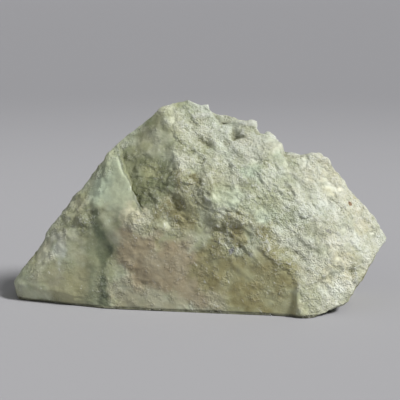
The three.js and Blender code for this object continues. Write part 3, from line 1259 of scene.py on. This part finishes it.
def flake_group():
    """A smooth step of the streaks from the threshold to a little above it."""
    group, inside, outside = new_group(
        "white flakes", [("Flake Size mm", 2), ("Threshold", 0.62)], ["Mask"]
    )
    size, threshold = inside.outputs["Flake Size mm"], inside.outputs["Threshold"]
    streak = grouped(group, FIBRE, Fibre_Width_mm=size, Stretch=FLAKE_STRETCH).outputs["Streak"]
    high = sums(group, "ADD", threshold, FLAKE_SOFTNESS)
    plug(group, outside.inputs["Mask"], ranged(group, streak, threshold, high))
    return group


FIBRE = fibre_group()
FLAKES = flake_group()
print("groups", [group.name for group in bpy.data.node_groups])

# %% [markdown]
# ## Colours
# The body colour is a pale grey-green. Everything is clouded, so each colour is a pair, one for each
# end of the clouds. Torn sugary faces are paler than split ones, because light scatters off their
# crumbs, and knocked edges are nearly white. Hollows keep a little earth and get painted shade, so
# they are darker and yellower.

# %% Colours
PALE_CLOUDS = ((0.465, 0.49, 0.335), (0.70, 0.725, 0.61))
BODY_CLOUDS = ((0.395, 0.42, 0.27), (0.57, 0.60, 0.46))
WARM = (1.03, 1.0, 0.91)
COOL = (0.97, 1.01, 1.0)
KNOCKED = (0.82, 0.845, 0.785)
# earth and painted shade, laid in hollows and pits
EARTH_AND_SHADE = (0.215, 0.215, 0.10)
GAP = (0.34, 0.355, 0.19)
# zone, its colour in one cloud and in the next, grain of its edge in mm, how ragged, how soft
ZONE_COLOURS = [
    ("chalk", (0.64, 0.66, 0.54), (0.86, 0.88, 0.80), 7, 1.2, 0.45),
    ("olive", (0.345, 0.315, 0.155), (0.42, 0.42, 0.255), 6, 1.1, 0.38),
    # brownish stains, and painted shade on the chamfer underside
    ("dusk_stain_and_shade", (0.37, 0.365, 0.215), (0.43, 0.425, 0.27), 6, 0.8, 0.45),
    ("dark", (0.195, 0.22, 0.115), (0.33, 0.355, 0.225), 4, 0.9, 0.45),
    ("mint", (0.51, 0.57, 0.415), (0.565, 0.64, 0.49), 7, 0.8, 0.42),
    ("sand", (0.40, 0.38, 0.265), (0.475, 0.465, 0.345), 6, 1.0, 0.45),
    ("mauve", (0.36, 0.305, 0.205), (0.385, 0.34, 0.24), 9, 1.0, 0.45),
    ("straw", (0.38, 0.395, 0.215), (0.45, 0.47, 0.28), 3, 1.3, 0.45),
    ("moss", (0.185, 0.215, 0.105), (0.27, 0.30, 0.175), 3, 1.4, 0.45),
    ("frost", (0.61, 0.63, 0.515), (0.70, 0.72, 0.62), 5, 1.3, 0.45),
    ("cream", (0.67, 0.65, 0.47), (0.74, 0.73, 0.58), 4, 1.4, 0.42),
    ("brown", (0.235, 0.21, 0.09), (0.32, 0.30, 0.155), 3, 1.5, 0.45),
    # painted shade on the step beside the mint face
    ("painted_step_shade", (0.20, 0.225, 0.155), (0.26, 0.285, 0.205), 2, 0.5, 0.48),
    ("vein_shade", (0.25, 0.275, 0.17), (0.33, 0.35, 0.23), 3, 1.0, 0.45),
    ("vein", (0.105, 0.13, 0.075), (0.18, 0.20, 0.125), 2, 1.0, 0.42),
    ("lead", (0.18, 0.18, 0.20), (0.30, 0.30, 0.31), 1.2, 1.4, 0.4),
    ("rust", (0.30, 0.16, 0.09), (0.36, 0.22, 0.13), 1.0, 1.0, 0.35),
    # painted shade along the foot
    ("base", (0.10, 0.10, 0.065), (0.17, 0.17, 0.115), 1.5, 0.8, 0.45),
]


print("zone colours", len(ZONE_COLOURS))

# %% [markdown]
# ## Jade
# The finish starts from the body colour, lays the zones over it one after another, and tints it warm
# or cool in wide clouds. Then come the fibres, the flakes, the specks and what the form itself says:
# crumbs that stand out are whitened, and ledges and pits that lie deep get earth and painted shade.
# Smooth faces are a little waxy, torn ones dull, and the finest grain is bump, because it is smaller
# than the mesh.

# %% Jade
CLOUD_MM, WIDE_CLOUD_MM, SPECK_MM, GRAIN_MM = 9, 22, 1.7, 1.1
WAXY_ROUGHNESS, TORN_ROUGHNESS = 0.46, 0.74
JADE_IOR = 1.6
BUMP_MM = 0.36


def tinted(tree, colour, tint):
    """A colour times a tint, channel by channel."""
    return vector_sums(tree, "MULTIPLY", colour, tint)


def noise(tree, place, size_mm, detail, roughness):
    """Blender's own soft noise with spots of a size in millimetres."""
    values = {"Vector": place, "Scale": 1 / (size_mm * MM), "Detail": detail, "Roughness": roughness}
    return add(tree, "ShaderNodeTexNoise", **values).outputs["Fac"]


def zone_value(tree, name):
    """The number that the skin holds for a zone."""
    return add(tree, "ShaderNodeAttribute", {"attribute_name": name}).outputs["Fac"]


def jade_material():
    """The stone's finish, read from its zones and from patterns in Object coordinates."""
    material = bpy.data.materials.new("raw_jade")
    material.use_nodes = True
    tree = material.node_tree
    shader = tree.nodes["Principled BSDF"]
    place = add(tree, "ShaderNodeTexCoord").outputs["Object"]
    sugar_zone = zone_value(tree, "sugar")
    torn_edge = {"Grain_Size_mm": 6.0, "Raggedness": 2.0, "Softness": 0.45}
    sugar = grouped(tree, RAGGED, Zone=sugar_zone, **torn_edge).outputs[0]
    crumb = grouped(tree, SUGAR, Crumb_Size_mm=1.3)
    fibres = grouped(tree, FIBRE, Fibre_Width_mm=1.8, Stretch=3.5).outputs[0]
    wide = noise(tree, place, WIDE_CLOUD_MM, 5, 0.6)
    cloud = ranged(tree, noise(tree, place, CLOUD_MM, 5, 0.55), 0.35, 0.65)
    colour = over(tree, sugar, over(tree, cloud, *BODY_CLOUDS), over(tree, cloud, *PALE_CLOUDS))
    for name, tint, next_tint, size, raggedness, softness in ZONE_COLOURS:
        mask = grouped(tree, RAGGED, Zone=zone_value(tree, name), Grain_Size_mm=size)
        mask.inputs["Raggedness"].default_value = raggedness
        mask.inputs["Softness"].default_value = softness
        colour = over(tree, mask.outputs[0], colour, over(tree, cloud, tint, next_tint))
    hue = over(tree, ranged(tree, wide, 0.3, 0.7), COOL, WARM)
    colour = tinted(tree, colour, hue)
    tone = product(
        tree,
        ranged(tree, wide, 0.28, 0.72, 1.06, 0.94),
        ranged(tree, fibres, 0.3, 0.7, 0.94, 1.06),
        ranged(tree, crumb.outputs["Tone"], 0.0, 1.0, 0.97, 1.03),
    )
    colour = tinted(tree, colour, tone)
    flakes = grouped(tree, FLAKES, Flake_Size_mm=2.2, Threshold=0.63).outputs[0]
    colour = over(tree, product(tree, flakes, 0.5), colour, KNOCKED)
    crumb_here = zone_value(tree, "crumb_bulge")
    ledge_here = zone_value(tree, "ledge_bulge")
    torn = ranged(tree, sugar, 0.0, 1.0, 0.08, 1.0)
    speck = noise(tree, place, SPECK_MM, 4, 0.7)
    white_specks = product(tree, ranged(tree, speck, 0.52, 0.66), torn, 0.6)
    colour = over(tree, white_specks, colour, KNOCKED)
    dark_specks = product(tree, ranged(tree, speck, 0.47, 0.34), torn, 0.6)
    colour = over(tree, dark_specks, colour, GAP)
    knocked = product(tree, ranged(tree, crumb_here, 0.1, 0.6), torn, 0.55)
    colour = over(tree, knocked, colour, KNOCKED)
    # deep hollows between ledges get earth and painted shade
    hollow_earth_and_shade = product(tree, ranged(tree, ledge_here, -0.1, -1.8), 0.5)
    colour = over(tree, hollow_earth_and_shade, colour, EARTH_AND_SHADE)
    # pits between crumbs get earth and painted shade
    pit_earth_and_shade = product(tree, ranged(tree, crumb_here, -0.1, -0.6), torn, 0.5)
    colour = over(tree, pit_earth_and_shade, colour, EARTH_AND_SHADE)
    plug(tree, shader.inputs["Base Color"], colour)

    rough = ranged(tree, sugar, 0.0, 1.0, WAXY_ROUGHNESS, TORN_ROUGHNESS)
    plug(tree, shader.inputs["Roughness"], rough)
    shader.inputs["IOR"].default_value = JADE_IOR

    grain = noise(tree, place, GRAIN_MM, 3, 0.6)
    height = sums(tree, "MULTIPLY_ADD", grain, 0.8, crumb.outputs["Height"])
    height = sums(tree, "MULTIPLY_ADD", fibres, 2.0, height)
    height = product(tree, height, ranged(tree, sugar, 0, 1, 0.06, 1.0))
    height = sums(tree, "MULTIPLY_ADD", product(tree, speck, torn), 3.0, height)
    bump = add(tree, "ShaderNodeBump", Strength=1.0, Distance=BUMP_MM * MM, Height=height)
    plug(tree, shader.inputs["Normal"], bump.outputs[0])
    return material


mesh.materials.append(jade_material())
print("material nodes", len(mesh.materials[0].node_tree.nodes))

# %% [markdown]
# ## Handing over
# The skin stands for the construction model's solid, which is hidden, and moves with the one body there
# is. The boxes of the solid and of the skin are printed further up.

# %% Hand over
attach(stone, "root")
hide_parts(STONE_NODE)
print("handed over", stone.name, "for", STONE_NODE)
